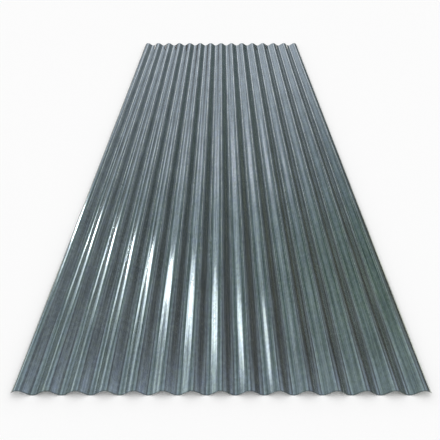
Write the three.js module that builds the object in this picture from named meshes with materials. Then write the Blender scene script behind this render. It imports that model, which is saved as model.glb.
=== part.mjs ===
// A corrugated roofing sheet, roll formed in one piece from flat galvanised steel coil.
// Millimetres, +Z up. X runs across the waves and Y along them. The origin is the centre of
// the footprint, on the plane that the undersides of the troughs rest on.
import * as THREE from "three";

// Driving dimensions
const WAVE_PITCH = 76; // crest to crest
const WAVE_DEPTH = 18; // over the whole section, from under a trough to the top of a crest
const CREST_COUNT = 15;
const EDGE_OVERHANG = 18; // from the outermost crest's centreline out to the slit edge
const SHEET_LENGTH = 3048; // along the waves, a ten foot sheet
const STEEL_THICKNESS = 0.5;
const FACETS_TO_TROUGH = 14; // flat facets that follow the curve from a crest to a trough

// The section is drawn on its middle line, half a thickness inside either face. That line is
// a sine wave, which the rolls press into the strip.
const HALF_THICKNESS = STEEL_THICKNESS / 2;
const HALF_RISE = (WAVE_DEPTH - STEEL_THICKNESS) / 2; // of the middle line
const HALF_WIDTH = ((CREST_COUNT - 1) * WAVE_PITCH) / 2 + EDGE_OVERHANG;
const FIRST_CREST = (-(CREST_COUNT - 1) * WAVE_PITCH) / 2;

// A facet spans an equal share of the run from a crest to the next trough. The corners lie
// half a facet to either side of each crest and trough, so a level facet crosses both, and
// they stand out a little from the sine wave to bring that facet to the full height.
const FACET_RUN = WAVE_PITCH / 2 / FACETS_TO_TROUGH;
const FACET_PHASE = Math.PI / FACETS_TO_TROUGH;
const CORNER_RISE = HALF_RISE / Math.cos(FACET_PHASE / 2);

const STEEL = new THREE.MeshStandardMaterial({ color: 0xc5cdd0, roughness: 0.3, metalness: 1 });

// A corner of the middle line. Corner 0 is the one just past the first crest.
function corner(i) {
  const height = CORNER_RISE * Math.cos((i + 0.5) * FACET_PHASE);
  return new THREE.Vector2(FIRST_CREST + (i + 0.5) * FACET_RUN, WAVE_DEPTH / 2 + height);
}

// The end of the middle line, on the facet from one corner outwards to the next. The sheet is
// slit square to its faces there, and the face that stands out further ends at the half width.
function slitEnd(inner, outer) {
  const along = outer.clone().sub(inner).normalize();
  const reach = HALF_WIDTH - HALF_THICKNESS * Math.abs(along.y);
  const distance = (Math.sign(along.x) * reach - inner.x) / along.x;
  return inner.clone().addScaledVector(along, distance);
}

// The middle line of the section, from the left slit edge to the right one.
function middleLine() {
  const overhangFacets = Math.floor((EDGE_OVERHANG - STEEL_THICKNESS) / FACET_RUN - 0.5);
  const first = -1 - overhangFacets;
  const last = 2 * FACETS_TO_TROUGH * (CREST_COUNT - 1) + overhangFacets;
  const points = [slitEnd(corner(first), corner(first - 1))];
  for (let i = first; i <= last; i++) {
    points.push(corner(i));
  }
  points.push(slitEnd(corner(last), corner(last + 1)));
  return points;
}

// One face of the sheet: the upper where side is 1 and the lower where it is -1. Each corner
// moves along the mitre of its two facets, so that the steel has the same thickness all over.
function facePoints(middle, side) {
  const normals = middle.slice(1).map((point, i) => {
    const along = point.clone().sub(middle[i]).normalize();
    return new THREE.Vector2(-along.y, along.x);
  });
  return middle.map((point, i) => {
    const before = normals[Math.max(i - 1, 0)];
    const after = normals[Math.min(i, normals.length - 1)];
    const mitre = before.clone().add(after).divideScalar(1 + before.dot(after));
    return point.clone().addScaledVector(mitre, side * HALF_THICKNESS);
  });
}

// The section is extruded along the waves and laid with its length on Y.
function corrugatedSheet() {
  const middle = middleLine();
  const section = new THREE.Shape([...facePoints(middle, -1), ...facePoints(middle, 1).reverse()]);
  const geometry = new THREE.ExtrudeGeometry(section, {
    depth: SHEET_LENGTH,
    bevelEnabled: false,
  });
  const sheet = new THREE.Mesh(geometry, STEEL);
  sheet.name = "corrugated_sheet";
  sheet.rotation.x = Math.PI / 2;
  sheet.position.y = SHEET_LENGTH / 2;
  return sheet;
}

const part = new THREE.Group();
part.add(corrugatedSheet());
export default part;
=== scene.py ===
# %% [markdown]
# # A corrugated steel sheet
# This is one sheet of roofing steel, as it comes from the mill: thin, galvanised, rolled into
# even waves and cut off square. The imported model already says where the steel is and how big
# it is. This script gives the sheet a finer surface, its zinc finish, a floor to lie on and a
# studio to be mirrored in, because polished metal shows little more than what stands around it.

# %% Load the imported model
import math

import bpy
import numpy as np
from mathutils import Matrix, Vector, noise


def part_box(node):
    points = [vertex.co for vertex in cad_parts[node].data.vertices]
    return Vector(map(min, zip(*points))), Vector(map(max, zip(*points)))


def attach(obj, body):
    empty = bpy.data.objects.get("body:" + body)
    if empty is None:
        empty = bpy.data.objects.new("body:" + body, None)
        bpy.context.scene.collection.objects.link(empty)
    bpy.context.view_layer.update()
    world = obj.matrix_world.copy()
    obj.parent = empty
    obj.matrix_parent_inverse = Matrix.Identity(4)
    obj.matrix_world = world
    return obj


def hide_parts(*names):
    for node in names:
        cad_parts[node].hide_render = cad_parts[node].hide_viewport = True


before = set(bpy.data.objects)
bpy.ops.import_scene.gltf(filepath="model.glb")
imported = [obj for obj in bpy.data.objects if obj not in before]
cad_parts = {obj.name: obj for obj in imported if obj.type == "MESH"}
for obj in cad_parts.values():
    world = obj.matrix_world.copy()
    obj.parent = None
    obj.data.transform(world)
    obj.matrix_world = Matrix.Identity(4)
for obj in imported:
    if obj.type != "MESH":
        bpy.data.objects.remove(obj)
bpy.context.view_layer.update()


# %% [markdown]
# ## The section of the waves
# A real sheet starts as a flat strip of coil that passes through pairs of rolls, and each pair
# presses more of the waves into it. The rolls of this profile leave a sine wave, 18 mm deep and
# 76 mm from crest to crest. The steel isn't stretched, so the strip that goes in is about an
# eighth wider than the sheet that comes out.
#
# We could mark places on the sheet by x. But the zinc was on the strip before it was rolled,
# and its pattern shouldn't bunch up on the flanks. So a place is named by its distance along
# the flat strip, and a table that we sum up here turns that distance into x.

# %% Sizes of the section, in metres
low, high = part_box("corrugated_sheet")
SHEET_LENGTH = high.y - low.y
SHEET_WIDTH = high.x - low.x
WAVE_DEPTH = high.z - low.z
WAVE_PITCH = 0.076
STEEL_THICKNESS = 0.0005

# These describe the middle of the steel, half a thickness inside either face.
half_rise = (WAVE_DEPTH - STEEL_THICKNESS) / 2
radians_per_metre = 2 * math.pi / WAVE_PITCH
print(f"the middle of the steel rises {2000 * half_rise:.1f} mm from trough to crest")


def steepness(x):
    """How steeply the middle of the steel falls at x. There is a crest at x = 0."""
    return half_rise * radians_per_metre * np.sin(radians_per_metre * x)


# %% The flat strip, summed up in short steps from the middle of the sheet to its slit edge
SUM_STEPS = 20000

# The edge is slit square to the steel, so its middle ends a little short of the full width.
slit_lean = math.atan(float(steepness(SHEET_WIDTH / 2)))
slit_x = SHEET_WIDTH / 2 - STEEL_THICKNESS / 2 * abs(math.sin(slit_lean))

fine_x = np.linspace(0, slit_x, SUM_STEPS + 1)
step_middles = (fine_x[1:] + fine_x[:-1]) / 2
fine_steps = np.diff(fine_x) * np.sqrt(1 + steepness(step_middles) ** 2)
fine_along = np.concatenate([[0], np.cumsum(fine_steps)])
half_strip = float(fine_along[-1])
print(f"the flat strip is {2000 * half_strip:.0f} mm wide, the sheet {1000 * SHEET_WIDTH:.0f} mm")


def x_of(along):
    """The x of a place on the strip, from its distance along the flat strip."""
    return math.copysign(float(np.interp(abs(along), fine_along, fine_x)), along)


# %% [markdown]
# ## The sheet as a mesh
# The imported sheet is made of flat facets, which is right for its size but not for its shine: a
# metal surface shows each facet as a stripe. So a finer sheet on the same section stands in
# for it. It is a grid of the flat strip, bent point by point, and then given its thickness.
#
# Rolled sheet is never quite true either. Its waves swell and sink by a few hundredths of a
# millimetre along their length, and the shears drag the cut ends down a little. Nobody would
# measure that, but a long reflection shows it.

# %% How far the surface strays from its true place
WANDER = 0.00005
WANDER_LENGTH = 0.5
SHEARED_LENGTH = 0.045
SHEARED_DROOP = 0.00025


def wander(x, y):
    """How far the rolled surface stands off its true place, in metres."""
    end_distance = SHEET_LENGTH / 2 - abs(y)
    ease = min(1, end_distance / WANDER_LENGTH)
    sheared = max(0, 1 - end_distance / SHEARED_LENGTH)
    swell = noise.noise(Vector((x / (2 * WAVE_PITCH), y / WANDER_LENGTH, 0.0)))
    return WANDER * ease * swell - SHEARED_DROOP * sheared**2


sunk = 1000 * wander(0.0, SHEET_LENGTH / 2)
print(f"a crest at the cut end stands off by {sunk:.2f} mm")

# %% Where the lines of the grid run: evenly, with a few closer ones near the cut ends
STRIPS_PER_WAVE = 34
LENGTH_STEPS = 90
END_STEPS = 4

strips = round(STRIPS_PER_WAVE * SHEET_WIDTH / WAVE_PITCH)
across = [half_strip * (2 * i / strips - 1) for i in range(strips + 1)]

end_steps = [SHEARED_LENGTH * i / END_STEPS for i in range(END_STEPS)]
true_half = SHEET_LENGTH / 2 - SHEARED_LENGTH
lengthways = [-SHEET_LENGTH / 2 + step for step in end_steps]
lengthways += [true_half * (2 * i / LENGTH_STEPS - 1) for i in range(LENGTH_STEPS + 1)]
lengthways += [SHEET_LENGTH / 2 - step for step in reversed(end_steps)]
print(len(across), "lines along the waves,", len(lengthways), "across them")

# %% The bent grid
points = []
flat_places = []
for y in lengthways:
    for along in across:
        x = x_of(along)
        lean = math.atan(float(steepness(x)))
        z = WAVE_DEPTH / 2 + half_rise * math.cos(radians_per_metre * x)
        off = wander(x, y) * z / WAVE_DEPTH
        points.append((x + off * math.sin(lean), y, z + off * math.cos(lean)))
        flat_places.append((along, y))

row = len(across)
faces = [
    (a, a + 1, a + 1 + row, a + row)
    for step in range(len(lengthways) - 1)
    for a in range(step * row, step * row + row - 1)
]

mesh = bpy.data.meshes.new("middle_of_sheet")
mesh.from_pydata(points, [], faces)
flat_map = mesh.uv_layers.new(name="flat_strip")
for loop in mesh.loops:
    flat_map.uv[loop.index].vector = flat_places[loop.vertex_index]
print(len(mesh.vertices), "points in the bent grid")

# %% [markdown]
# ## The thickness of the steel
# The grid is the middle of the steel, so half of the thickness goes to each side of it.
# Blender's Solidify modifier does that and closes the cut edges with narrow faces. It is
# applied at once, so that the sheet is a plain mesh: a sharp edge then stays where two faces
# meet at more than 50 degrees, which is only at the cut ends and the slit edges.


# %% Give it thickness
def put_in_scene(name, data):
    """A new object in the scene, made of a mesh or a camera."""
    made = bpy.data.objects.new(name, data)
    bpy.context.scene.collection.objects.link(made)
    return made


SHARP_ANGLE = math.radians(50)

sheet = put_in_scene("galvanised_sheet", mesh)
thickness = sheet.modifiers.new("steel", "SOLIDIFY")
thickness.thickness = STEEL_THICKNESS
thickness.offset = 0
thickness.use_even_offset = True

bpy.context.view_layer.update()
evaluated = sheet.evaluated_get(bpy.context.evaluated_depsgraph_get())
solid = bpy.data.meshes.new_from_object(evaluated)
solid.name = "galvanised_sheet"
solid.shade_smooth()
solid.set_sharp_from_angle(angle=SHARP_ANGLE)
sheet.modifiers.clear()
sheet.data = solid
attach(sheet, "root")
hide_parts("corrugated_sheet")
print(len(solid.polygons), "faces on the finished sheet")

# %% [markdown]
# ## Shader maths in Python
# A node tree is easier to read as a formula than as a web of boxes. The class below wraps one
# output socket, so that adding or multiplying two of them adds the Math node that does it.
# Numbers go through Math nodes. Colours and vectors go through Vector Math, which works on
# their three parts at once, where a Math node would turn a colour grey.


# %% A socket that does arithmetic
class Signal:
    """One output socket of a node tree, which Python's operators work on."""

    def __init__(self, tree, socket):
        self.tree = tree
        self.socket = socket

    @staticmethod
    def node(tree, kind, settings=None, inputs=None, output=0):
        """Adds a node, sets it up, fills its sockets with values or links, and wraps one output."""
        made = tree.nodes.new(kind)
        for name, value in (settings or {}).items():
            setattr(made, name, value)
        for name, value in (inputs or {}).items():
            if isinstance(value, Signal):
                tree.links.new(value.socket, made.inputs[name])
            else:
                made.inputs[name].default_value = value
        return Signal(tree, made.outputs[output]) if made.outputs else None

    def __add__(self, other):
        return maths("ADD", self, other)

    def __radd__(self, other):
        return maths("ADD", other, self)

    def __sub__(self, other):
        return maths("SUBTRACT", self, other)

    def __rsub__(self, other):
        return maths("SUBTRACT", other, self)

    def __mul__(self, other):
        return maths("MULTIPLY", self, other)

    def __rmul__(self, other):
        return maths("MULTIPLY", other, self)

    def __truediv__(self, other):
        return maths("DIVIDE", self, other)

    def __rtruediv__(self, other):
        return maths("DIVIDE", other, self)

    def __abs__(self):
        return maths("ABSOLUTE", self)


def has_three_parts(value):
    """Whether a value or a signal is a colour or a vector."""
    if isinstance(value, Signal):
        return value.socket.type in ("VECTOR", "RGBA")
    return isinstance(value, tuple)


def maths(operation, *values):
    """A Math node, or a Vector Math node where one of the values has three parts."""
    tree = next(value.tree for value in values if isinstance(value, Signal))
    if not any(has_three_parts(value) for value in values):
        return Signal.node(tree, "ShaderNodeMath", {"operation": operation}, dict(enumerate(values)))
    tripled = [(v,) * 3 if isinstance(v, (int, float)) else v for v in values]
    return Signal.node(
        tree, "ShaderNodeVectorMath", {"operation": operation}, dict(enumerate(tripled))
    )


print("a Signal takes + - * / and abs(), and Signal.node adds any other node")

# %% [markdown]
# ## The zinc
# Hot-dip galvanised steel has been drawn through a bath of molten zinc. The zinc freezes into
# flat crystals about a centimetre across, the spangle, and each one mirrors the light a little
# differently. The rolls then drag fine streaks along the waves, and in store the air dulls the
# zinc in soft blotches.
#
# A picture of such a sheet could be wrapped around the mesh, but it would have the light of
# another room in it. So every layer is a pattern of its own, drawn in metres on the flat strip
# and added up to a tone, a roughness and a height.


# %% Where we are on the flat strip
def new_material(name):
    """A material with an empty node tree."""
    made = bpy.data.materials.new(name)
    made.use_nodes = True
    made.node_tree.nodes.clear()
    return made


def part_of(signal, part):
    """Part X, Y or Z of a vector or a colour, as a number."""
    return Signal.node(signal.tree, "ShaderNodeSeparateXYZ", {}, {"Vector": signal}, output=part)


zinc = new_material("galvanised_steel")
tree = zinc.node_tree
flat = Signal.node(tree, "ShaderNodeUVMap", {"uv_map": "flat_strip"})
along_strip = part_of(flat, "X")
along_length = part_of(flat, "Y")
print("places come from the map", solid.uv_layers.active.name)


# %% Spangle: one random tone, hue and tilt for each crystal, with frayed edges
def blotches(places, per_metre, detail, output="Fac"):
    """Soft noise with about so many blobs to the metre, evenly above and below 0."""
    inputs = {"Vector": places, "Scale": per_metre, "Detail": detail}
    return Signal.node(places.tree, "ShaderNodeTexNoise", {}, inputs, output) - 0.5


CRYSTALS_PER_METRE = 115.0
FRAYS_PER_METRE = 160.0
FRAY = 0.006

frayed = flat + blotches(flat, FRAYS_PER_METRE, detail=2, output="Color") * FRAY
cells = {"Vector": frayed, "Scale": CRYSTALS_PER_METRE}
crystal = Signal.node(tree, "ShaderNodeTexVoronoi", {}, cells, output="Color")
crystal_tone = part_of(crystal, "X") - 0.5
crystal_hue = part_of(crystal, "Y") - 0.5
crystal_tilt = part_of(crystal, "Z") - 0.5
print(f"a crystal is about {1000 / CRYSTALS_PER_METRE:.0f} mm across")


# %% Streaks from the rolls, dull blotches, broad clouds and fine grain
def drawn_out(share):
    """Places that draw a pattern out along the waves, to 1 / share times its length."""
    return flat * (1.0, share, 1.0)


STREAKS_PER_METRE = 260.0
STREAK_SHARE = 0.018

# This moves one pattern aside, so that its blobs don't lie on those of another.
ASIDE = 3.0

streaks = blotches(drawn_out(STREAK_SHARE), STREAKS_PER_METRE, detail=2)
dull = blotches(drawn_out(0.45), per_metre=130, detail=3)
dull_hue = blotches(drawn_out(0.4) + ASIDE, per_metre=45, detail=3)
clouds = blotches(drawn_out(0.5), per_metre=14, detail=3)
grain = blotches(flat, per_metre=600, detail=2)
streak_width = 1000 / STREAKS_PER_METRE
print(f"a streak is about {streak_width:.0f} mm wide and {streak_width / STREAK_SHARE:.0f} mm long")

# %% [markdown]
# A thin band of painted shade runs along each cut end, a few millimetres wide, so that a dark
# line shows at the edge, and the zinc in that band is also a little rougher. And this sheet has
# been wet in store around one of its corners, which leaves a film with a faint green cast.


# %% Painted shade along the cut ends, and the wet corner
def smooth(value, start, end):
    """0 while value is at start, 1 where it has reached end, and an even curve between them."""
    settings = {"interpolation_type": "SMOOTHSTEP"}
    inputs = {"Value": value, "From Min": start, "From Max": end}
    return Signal.node(value.tree, "ShaderNodeMapRange", settings, inputs)


def oval(right, up, edge=1.0):
    """1 inside an oval, 0 outside, and a soft edge that takes up so much of its half width.

    right and up are the distances from its middle, measured in half widths of the oval.
    """
    return smooth(maths("SQRT", right * right + up * up), 1.0, 1.0 - edge)


END_SHADE_WIDTH = 0.005
WET_FROM_END = 0.424
WET_REACH = (0.62, 0.75)

end_gap = SHEET_LENGTH / 2 - abs(along_length)
# Painted shade: 1 at a cut end, fading to 0 a few millimetres in, where the colour is darkened.
painted_dark = smooth(end_gap, END_SHADE_WIDTH, 0.0)

# The film is wettest at the right slit edge, a short way from the near cut end.
wet_y = WET_FROM_END - SHEET_LENGTH / 2
wet = oval((along_strip - half_strip) / WET_REACH[0], (along_length - wet_y) / WET_REACH[1])
print(f"the zinc is smeared for {1000 * END_SHADE_WIDTH:.0f} mm from each cut end")

# %% [markdown]
# Now the layers are added up. Each number below says how much its layer counts, and it was
# found by trying: more streaks make the sheet look brushed, and more crystals make it look
# speckled. The relief is only a hundredth of a millimetre, because a mirror shows every slope.


# %% Colour, roughness and height
def mixed(factor, first, second):
    """The first colour where the factor is 0, the second where it is 1.

    A Mix node has numbers, vectors and colours on sockets with the same names, so its colour
    sockets are counted out: 6 and 7 go in, and 2 comes out.
    """
    inputs = {"Factor": factor, 6: first, 7: second}
    return Signal.node(factor.tree, "ShaderNodeMix", {"data_type": "RGBA"}, inputs, output=2)


DARK_ZINC = (0.45, 0.475, 0.47, 1)
PALE_ZINC = (0.75, 0.785, 0.77, 1)
BLUE_CAST = (0.98, 0.98, 1.06, 1)
OLIVE_CAST = (1.02, 1.02, 0.94, 1)
GREEN_FILM = (0.98, 1.0, 0.90, 1)
# Half the brightness: the painted shade along the cut ends.
PAINTED_END_SHADE = (0.5, 0.5, 0.5, 1)
NO_CAST = (1, 1, 1, 1)
POLISH = 0.115
RELIEF = 0.00001
METAL_SHARE = 0.96

tone = 0.5 + crystal_tone * 0.22 + streaks * 2.6 + dull * 1.15 + clouds * 0.9
hue = 0.5 + crystal_hue * 0.5 + dull_hue * 1.6
colour = mixed(tone, DARK_ZINC, PALE_ZINC) * mixed(hue, BLUE_CAST, OLIVE_CAST)
# The colour is halved along the cut ends, a painted shade line, and the wet corner gets its green
# film.
colour = colour * mixed(wet, NO_CAST, GREEN_FILM) * mixed(painted_dark, NO_CAST, PAINTED_END_SHADE)
roughness = POLISH + dull * 0.03 + clouds * 0.03 + painted_dark * 0.15
height = crystal_tilt * 0.4 + streaks * 0.3 + grain * 0.15
bump = Signal.node(tree, "ShaderNodeBump", {}, {"Height": height, "Distance": RELIEF})
print(f"the relief of the zinc is {1000 * RELIEF:.2f} mm")

# %% The metal itself
finish = {"Base Color": colour, "Metallic": METAL_SHARE, "Roughness": roughness, "Normal": bump}
metal = Signal.node(tree, "ShaderNodeBsdfPrincipled", {}, finish)
Signal.node(tree, "ShaderNodeOutputMaterial", {}, {"Surface": metal})
solid.materials.append(zinc)
print(len(tree.nodes), "nodes in the zinc")

# %% [markdown]
# ## The floor
# The sheet lies on a plain pale floor that reaches far past the edges of every view. The floor
# is a hair lower than the sheet's lowest points, so that no two faces share a plane.


# %% Floor
def rectangle(name, corners):
    """A mesh of one face with four corners."""
    made = bpy.data.meshes.new(name)
    made.from_pydata(corners, [], [(0, 1, 2, 3)])
    return made


FLOOR_REACH = 120
FLOOR_GAP = 0.0002
FLOOR_COLOUR = (0.97, 0.97, 0.97, 1)

ways = [(-1, -1), (1, -1), (1, 1), (-1, 1)]
floor = put_in_scene(
    "floor", rectangle("floor", [(FLOOR_REACH * x, FLOOR_REACH * y, -FLOOR_GAP) for x, y in ways])
)

paint = new_material("floor_paint")
matt = {"Base Color": FLOOR_COLOUR, "Roughness": 0.9, "Specular IOR Level": 0.0}
painted = Signal.node(paint.node_tree, "ShaderNodeBsdfPrincipled", {}, matt)
Signal.node(paint.node_tree, "ShaderNodeOutputMaterial", {}, {"Surface": painted})
floor.data.materials.append(paint)
print("the floor is", 2 * FLOOR_REACH, "m wide")

# %% [markdown]
# ## The studio in the mirror
# Polished metal is hardly lit at all: it shows what stands around it. So a studio puts pale
# cards where it should gleam, and black flags where it should stay dark. Cards could be real
# meshes around the sheet, but then they would throw light and shadow on the floor too. So they
# are painted on the world instead, as ovals at a compass direction and a height above the
# horizon, both in degrees. Direction 0 is straight ahead along the waves, and negative is to
# the left.
#
# The cards weren't placed by eye. A separate fitting program worked out where they stand, how
# large and how strong they are, and the colour of the bare room. Its numbers were then rounded,
# and names were given to the shapes that came out. The paler side walls and ceiling of the last
# cell are guesses.
#
# The room behind the camera repeats the room in front of it, which keeps the sheet looking the
# same from both ends.

# %% Directions in the room
DEGREES = math.degrees(1)

world = bpy.data.worlds.new("studio")
bpy.context.scene.world = world
world.use_nodes = True
tree = world.node_tree
tree.nodes.clear()
direction = Signal.node(tree, "ShaderNodeTexCoord", output="Generated")
ahead = abs(part_of(direction, "Y"))
compass = maths("ARCTAN2", part_of(direction, "X"), ahead) * DEGREES
upward = maths("ARCSINE", part_of(direction, "Z")) * DEGREES
print(len(tree.nodes), "nodes find the direction")

# %% The bare room: grey-blue walls under a slightly paler ceiling
room = (0.281, 0.348, 0.402) + smooth(upward, 45, 60) * (0.06, 0.10, 0.11)
print(len(tree.nodes), "nodes with the bare room")


# %% Four large dark ovals, which act as black flags
def card(at, size, turn=0):
    """1 in the middle of a soft oval card in the room, 0 outside it. Size is in half widths."""
    cos = math.cos(math.radians(turn))
    sin = math.sin(math.radians(turn))
    right = compass - at[0]
    up = upward - at[1]
    return oval((right * cos + up * sin) / size[0], (up * cos - right * sin) / size[1])


room -= card(at=(47, 12.5), size=(44, 30), turn=-58) * (0.23, 0.29, 0.34)
room -= card(at=(11, 17), size=(36, 29.5), turn=-15) * (0.27, 0.31, 0.36)
room -= card(at=(-19, 32.5), size=(45, 24)) * (0.33, 0.35, 0.45)
room -= card(at=(26.5, 46), size=(26, 19), turn=24) * (0.19, 0.24, 0.27)
print(len(tree.nodes), "nodes with the flags")

# %% Dark ovals at the foot of the walls: one on each side and one straight ahead
room -= card(at=(41, 1), size=(45, 5)) * (0.58, 0.57, 0.52)
room -= card(at=(-48, 0.5), size=(45, 5), turn=-4) * (0.42, 0.52, 1.08)
room -= card(at=(0, -4.5), size=(42, 14), turn=-14) * (0.80, 0.95, 1.09)
print(len(tree.nodes), "nodes with the foot of the walls")

# %% Pale cards: a long one and a small one to the left, one in the middle and one to the right
room += card(at=(-61, 14), size=(43, 6)) * (0.35, 0.42, 0.40)
room += card(at=(-26, 12.5), size=(6, 7), turn=18) * (0.38, 0.36, 0.41)
room += card(at=(-3, 13), size=(46, 17), turn=26) * (0.24, 0.25, 0.28)
room += card(at=(50, 29), size=(8, 19), turn=13) * (0.19, 0.23, 0.31)
print(len(tree.nodes), "nodes with the pale cards")

# %% Two long thin pale ovals, which act as lamp tubes
room += card(at=(4, 24.5), size=(3.6, 27), turn=-19) * (1.16, 1.20, 1.26)
room += card(at=(-11, 30), size=(3.7, 38), turn=40) * (0.38, 0.37, 0.42)
print(len(tree.nodes), "nodes with the lamp tubes")

# %% Two faint tints: browner low on the right, bluer high on the left
room -= card(at=(49, -5), size=(46, 16), turn=-18) * (0.06, 0.09, 0.17)
room += card(at=(-14, 27), size=(43, 23), turn=-10) * (0.11, 0.11, 0.16)
print(len(tree.nodes), "nodes with the tints")

# %% Paler side walls and ceiling, which only a view from the side or from above mirrors
BLACKEST = 0.02

side_walls = smooth(abs(compass), 60, 80)
overhead = smooth(upward, 56, 74)
room += side_walls * (0.37, 0.34, 0.32) + overhead * (0.75, 0.71, 0.67)
room = maths("MAXIMUM", room, BLACKEST)
print(len(tree.nodes), "nodes in the whole room")

# %% [markdown]
# ## Plain light and a plain backdrop
# The cards are there for the metal. Everything matt should get plain even light instead, so
# that the floor is white with a soft shadow, and the backdrop should be plain white too. The
# Light Path node tells which kind of ray asks: rays that come off metal or pass through glass
# see the room, and all other rays meet plain white light, at a strength of 1.

# %% World light
PLAIN_WHITE = (1, 1, 1, 1)

sees_room = Signal.node(tree, "ShaderNodeLightPath", output="Is Glossy Ray")
sees_room += Signal.node(tree, "ShaderNodeLightPath", output="Is Transmission Ray")
light = mixed(sees_room, PLAIN_WHITE, room)
background = Signal.node(tree, "ShaderNodeBackground", {}, {"Color": light, "Strength": 1.0})
Signal.node(tree, "ShaderNodeOutputWorld", {}, {"Surface": background})
print(len(tree.nodes), "nodes in the world")

# %% [markdown]
# ## The soft box
# The long white highlights on the left waves come from a lamp that stands close, beside the
# middle of the sheet. Its mirror image slides from wave to wave, and a lamp far away could not
# do that, so this one is a real upright cloth. The lit part is a small slanted oval, with two
# large faint glows around and above it. Its numbers were fitted too, and the glows were then
# changed a little by trying. Only mirror rays see it: it is no piece of the object, throws no
# shadow and leaves the floor as it is.

# %% The cloth
BOX_GAP = 0.54
BOX_FRONT = -1.0
BOX_BACK = 0.9
BOX_HEIGHT = 1.0

box_x = low.x - BOX_GAP
rim = [(BOX_FRONT, 0), (BOX_BACK, 0), (BOX_BACK, BOX_HEIGHT), (BOX_FRONT, BOX_HEIGHT)]
box = put_in_scene("soft_box", rectangle("soft_box", [(box_x, y, z) for y, z in rim]))
for kind in ("camera", "diffuse", "shadow", "transmission", "volume_scatter"):
    setattr(box, "visible_" + kind, False)

cloth = new_material("soft_box_cloth")
tree = cloth.node_tree
on_cloth = Signal.node(tree, "ShaderNodeTexCoord", output="Object")
print(f"the soft box stands at x = {box_x:.2f}, beside the left edge of the sheet")


# %% Its lit ovals
def lit_oval(middle, size, lean, edge):
    """1 in an oval of the cloth, which leans back by so much for each metre of height."""
    above = part_of(on_cloth, "Z") - middle[1]
    beside = part_of(on_cloth, "Y") - middle[0] + above * lean
    return oval(beside / size[0], above / size[1], edge)


BOX_RADIANCE = 36.0
BOX_COLOUR = (0.84, 0.93, 1.0, 1)

lit = lit_oval(middle=(-0.005, 0.20), size=(0.168, 0.066), lean=1.95, edge=0.8) * 0.97
lit += lit_oval(middle=(-0.03, 0.32), size=(0.44, 0.205), lean=0.0, edge=0.38) * 0.028
lit += lit_oval(middle=(-0.10, 0.565), size=(0.46, 0.145), lean=-0.6, edge=0.6) * 0.032

clear = Signal.node(tree, "ShaderNodeBsdfTransparent")
lamp = Signal.node(tree, "ShaderNodeEmission", {}, {"Color": BOX_COLOUR, "Strength": BOX_RADIANCE})
shown = Signal.node(tree, "ShaderNodeMixShader", {}, {"Fac": lit, 1: clear, 2: lamp})
Signal.node(tree, "ShaderNodeOutputMaterial", {}, {"Surface": shown})
box.data.materials.append(cloth)
print(len(tree.nodes), "nodes in the cloth")

# %% [markdown]
# ## The camera
# The camera stands just behind the near end, on the middle line of the sheet, as high as the
# eyes of someone who sits on a chair, and looks along the waves and down. A normal lens then
# shows both the waves of the near end and how the sheet narrows with distance. The numbers
# aren't round, because a fitting program found them, from where the sheet's outline should be.

# %% Camera
LENS = 43.66
CAMERA_BACK = 0.8873
CAMERA_HEIGHT = 1.1747
CAMERA_DOWN = math.radians(34.728)
CAMERA_SHIFT = -0.0024

lens = bpy.data.cameras.new("camera")
lens.lens = LENS
lens.shift_x = CAMERA_SHIFT
lens.clip_end = 4 * FLOOR_REACH
camera = put_in_scene("camera", lens)
camera.location = (0, low.y - CAMERA_BACK, CAMERA_HEIGHT)
camera.rotation_euler = (math.pi / 2 - CAMERA_DOWN, 0, 0)
bpy.context.scene.camera = camera
bpy.context.scene.view_settings.view_transform = "Standard"
print("camera at", [round(c, 3) for c in camera.location])
